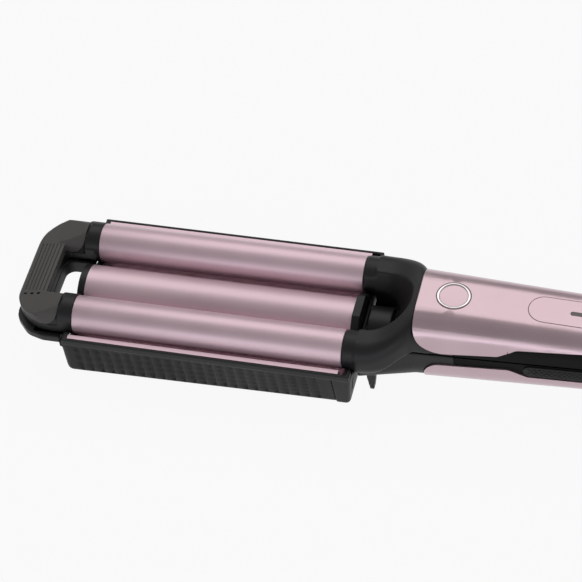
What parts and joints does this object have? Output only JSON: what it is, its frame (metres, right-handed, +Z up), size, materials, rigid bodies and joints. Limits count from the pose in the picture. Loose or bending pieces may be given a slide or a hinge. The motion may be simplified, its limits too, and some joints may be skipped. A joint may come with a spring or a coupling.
{
  "type": "hair waver",
  "caption": "Hinged hair waver: twin heated barrels on the upper arm close onto a W-shaped wave plate with a ribbed heat guard on the lower arm.",
  "frame": {"origin": "on the surface it stands on, under the middle of its length", "axes": "+X from the tip to the tail, +Z up, barrels side by side along Y"},
  "size_m": [0.3594, 0.0812, 0.0512],
  "materials": {
    "rose_coated_aluminium": "satin ceramic coating",
    "rose_painted_shell": "satin metallic paint",
    "rose_painted_panel": "satin metallic paint",
    "rose_painted_disc": "satin metallic paint",
    "black_heat_resin": "fine moulded",
    "black_guard_resin": "fine moulded",
    "grey_black_cover": "fine moulded",
    "black_abs": "fine moulded",
    "black_gland": "fine moulded",
    "black_rubber": "ribbed",
    "black_slider": "ribbed",
    "button_grey": "satin",
    "smoked_lens": "smoked",
    "green_board": "solder mask",
    "heater_ceramic": "matt",
    "bare_aluminium": "extruded",
    "spring_steel": "drawn",
    "bright_steel": "turned"
  },
  "bodies": {
    "lower_arm": {"wave_plate": "rose_coated_aluminium", "lower_handle_shell": "rose_painted_shell", "plate_front_cap": "black_heat_resin", "plate_rear_cap": "black_heat_resin", "plate_frame": "black_heat_resin", "heat_guard": "black_guard_resin", "guard_end_cap": "black_guard_resin", "lower_neck": "black_heat_resin", "lower_inner_cover": "black_abs", "tail_housing": "black_abs", "left_grip": "black_rubber", "right_grip": "black_rubber", "plate_heater": "heater_ceramic", "plate_heater_saddle": "bare_aluminium", "heater_clamp": "spring_steel", "hinge_pin": "bright_steel", "hinge_spring": "spring_steel", "handle_screws": "bright_steel"},
    "upper_arm": {"left_barrel": "rose_coated_aluminium", "right_barrel": "rose_coated_aluminium", "left_heater_blocks": "bare_aluminium", "right_heater_blocks": "bare_aluminium", "left_heater": "heater_ceramic", "right_heater": "heater_ceramic", "tip_bridge_frame": "black_heat_resin", "tip_bridge_cover": "grey_black_cover", "bridge_screws": "bright_steel", "barrel_yoke": "black_heat_resin", "upper_handle_shell": "rose_painted_shell", "emblem_disc": "rose_painted_disc", "control_panel": "rose_painted_panel", "indicator_lens": "smoked_lens", "circuit_board": "green_board", "upper_inner_cover": "black_abs"},
    "power_button": {"power_button": "button_grey"},
    "plus_button": {"plus_button": "button_grey"},
    "minus_button": {"minus_button": "button_grey"},
    "lock_slider": {"lock_slider": "black_slider"},
    "swivel_gland": {"swivel_gland": "black_gland"}
  },
  "joints": [
    {"name": "arm_hinge", "type": "hinge", "parent": "lower_arm", "child": "upper_arm", "pos_m": [0.14675, 0, 0.03055], "axis": [0, 1, 0], "range_deg": [0, 10], "deforming": ["hinge_spring"]},
    {"name": "power_button_press", "type": "slide", "parent": "upper_arm", "child": "power_button", "axis": [-0.0384, 0, -0.9993], "range_m": [0, 0.0007], "stiffness_N_per_m": 300},
    {"name": "plus_button_press", "type": "slide", "parent": "upper_arm", "child": "plus_button", "axis": [-0.0384, 0, -0.9993], "range_m": [0, 0.0007], "stiffness_N_per_m": 300},
    {"name": "minus_button_press", "type": "slide", "parent": "upper_arm", "child": "minus_button", "axis": [-0.0384, 0, -0.9993], "range_m": [0, 0.0007], "stiffness_N_per_m": 300},
    {"name": "lock_slide", "type": "slide", "parent": "lower_arm", "child": "lock_slider", "axis": [0.9993, 0, 0.0384], "range_m": [0, 0.004]},
    {"name": "gland_swivel", "type": "hinge", "parent": "lower_arm", "child": "swivel_gland", "pos_m": [0.16975, 0, 0.027], "axis": [1, 0, 0], "continuous": true}
  ]
}
